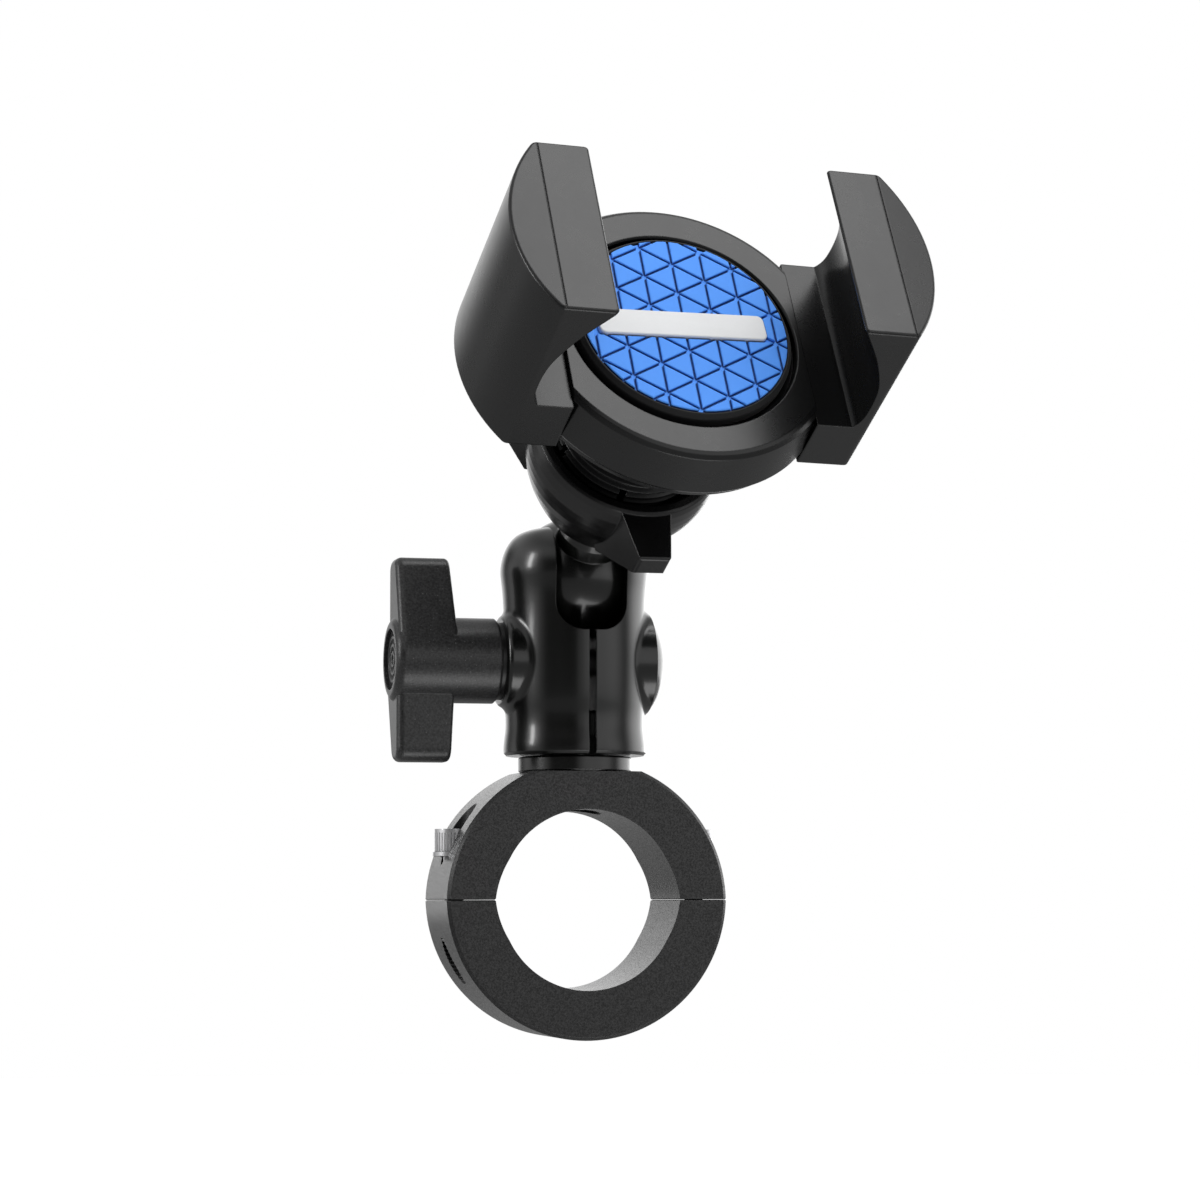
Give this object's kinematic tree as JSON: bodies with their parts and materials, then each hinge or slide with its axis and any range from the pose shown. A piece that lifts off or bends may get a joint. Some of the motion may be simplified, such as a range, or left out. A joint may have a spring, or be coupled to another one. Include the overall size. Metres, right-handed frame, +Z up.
{
  "type": "handlebar phone mount",
  "caption": "Handlebar phone mount: split ring clamp, knob-locked arm with a double ball stud, and a round cradle with two spring-loaded jaws.",
  "frame": {"origin": "centre of the handlebar clamp's bore", "axes": "+Y along the handlebar bore, away from the phone side; +Z up through the arm; +X across, away from the knob"},
  "size_m": [0.0762, 0.0982, 0.1452],
  "materials": {
    "ring_metal": "matt blasted black",
    "arm_paint": "gloss black",
    "steel": "bright",
    "dark_steel": "blackened",
    "knob_plastic": "fine texture",
    "shell_plastic": "satin",
    "nut_plastic": "semi gloss",
    "acetal": "satin",
    "rim_rubber": "matt",
    "pad_rubber": "matt blue",
    "bar_white": "matt white"
  },
  "bodies": {
    "clamp": {"clamp_upper": "ring_metal", "clamp_lock_washers": "steel", "swivel_post": "arm_paint", "post_screw": "dark_steel"},
    "clamp_half": {"clamp_lower": "ring_metal"},
    "screw_left": {"clamp_screw_left": "steel"},
    "screw_right": {"clamp_screw_right": "steel"},
    "arm": {"arm_shell_right": "arm_paint", "arm_nut": "steel"},
    "arm_left": {"arm_shell_left": "arm_paint", "thrust_washer": "acetal"},
    "knob": {"knob": "knob_plastic", "knob_cap": "knob_plastic", "clamp_bolt": "steel"},
    "ball": {"ball_stud": "arm_paint"},
    "seat": {"friction_cup": "acetal"},
    "cradle": {"rear_shell": "shell_plastic", "front_shell": "shell_plastic", "housing_screws": "dark_steel", "return_spring": "steel", "pad_rim": "rim_rubber", "grip_pad": "pad_rubber", "pad_bar": "bar_white"},
    "ring_nut": {"tightening_ring": "nut_plastic"},
    "gear": {"pinion": "acetal"},
    "jaw_r": {"jaw_right": "shell_plastic"},
    "jaw_l": {"jaw_left": "shell_plastic"}
  },
  "joints": [
    {"name": "clamp_screw_left_turn", "type": "hinge", "parent": "clamp", "child": "screw_left", "pos_m": [-0.022, 0, 0.01], "axis": [0, 0, 1], "range_deg": [0, 6180]},
    {"name": "clamp_screw_right_turn", "type": "hinge", "parent": "clamp", "child": "screw_right", "pos_m": [0.022, 0, 0.01], "axis": [0, 0, 1], "range_deg": [0, 6180]},
    {"name": "clamp_open", "type": "slide", "parent": "clamp", "child": "clamp_half", "axis": [0, 0, -1], "range_m": [0, 0.012]},
    {"name": "arm_swivel", "type": "hinge", "parent": "clamp", "child": "arm", "pos_m": [0, 0, 0.0256], "axis": [0, 0, 1], "continuous": true},
    {"name": "arm_open", "type": "slide", "parent": "arm", "child": "arm_left", "axis": [-1, 0, 0], "range_m": [0, 0.0012]},
    {"name": "knob_turn", "type": "hinge", "parent": "arm_left", "child": "knob", "pos_m": [-0.025, 0, 0.0424], "axis": [-1, 0, 0], "range_deg": [0, 540]},
    {"name": "stud_tilt", "type": "hinge", "parent": "arm", "child": "ball", "pos_m": [0, 0, 0.0575], "axis": [-1, 0, 0], "range_deg": [-40, 49]},
    {"name": "head_tilt", "type": "hinge", "parent": "ball", "child": "seat", "pos_m": [0.00163, -0.01878, 0.07342], "axis": [-0.997, -0.0751, 0.0197], "range_deg": [-13, 34]},
    {"name": "head_spin", "type": "hinge", "parent": "seat", "child": "cradle", "pos_m": [0.00163, -0.01878, 0.07342], "axis": [0.075, -0.8656, 0.4951], "continuous": true},
    {"name": "ring_turn", "type": "hinge", "parent": "cradle", "child": "ring_nut", "pos_m": [0.00163, -0.01878, 0.07342], "axis": [-0.075, 0.8656, -0.4951], "range_deg": [-15, 345]},
    {"name": "jaw_right_slide", "type": "slide", "parent": "cradle", "child": "jaw_r", "axis": [0.997, 0.0751, -0.0197], "range_m": [0, 0.016], "stiffness_N_per_m": 120, "springref_m": -0.02},
    {"name": "jaw_left_slide", "type": "slide", "parent": "cradle", "child": "jaw_l", "axis": [-0.997, -0.0751, 0.0197], "range_m": [0, 0.016]},
    {"name": "pinion_turn", "type": "hinge", "parent": "cradle", "child": "gear", "pos_m": [0.00463, -0.05341, 0.09323], "axis": [0.075, -0.8656, 0.4951], "range_deg": [-170, 0]}
  ],
  "couplings": [
    {"joint": "clamp_screw_left_turn", "follows": "clamp_open", "rad_per_m": 8976},
    {"joint": "clamp_screw_right_turn", "follows": "clamp_open", "rad_per_m": 8976},
    {"joint": "knob_turn", "follows": "arm_open", "rad_per_m": 7854},
    {"joint": "jaw_left_slide", "follows": "jaw_right_slide", "ratio": 1},
    {"joint": "pinion_turn", "follows": "jaw_right_slide", "rad_per_m": -185.19}
  ]
}
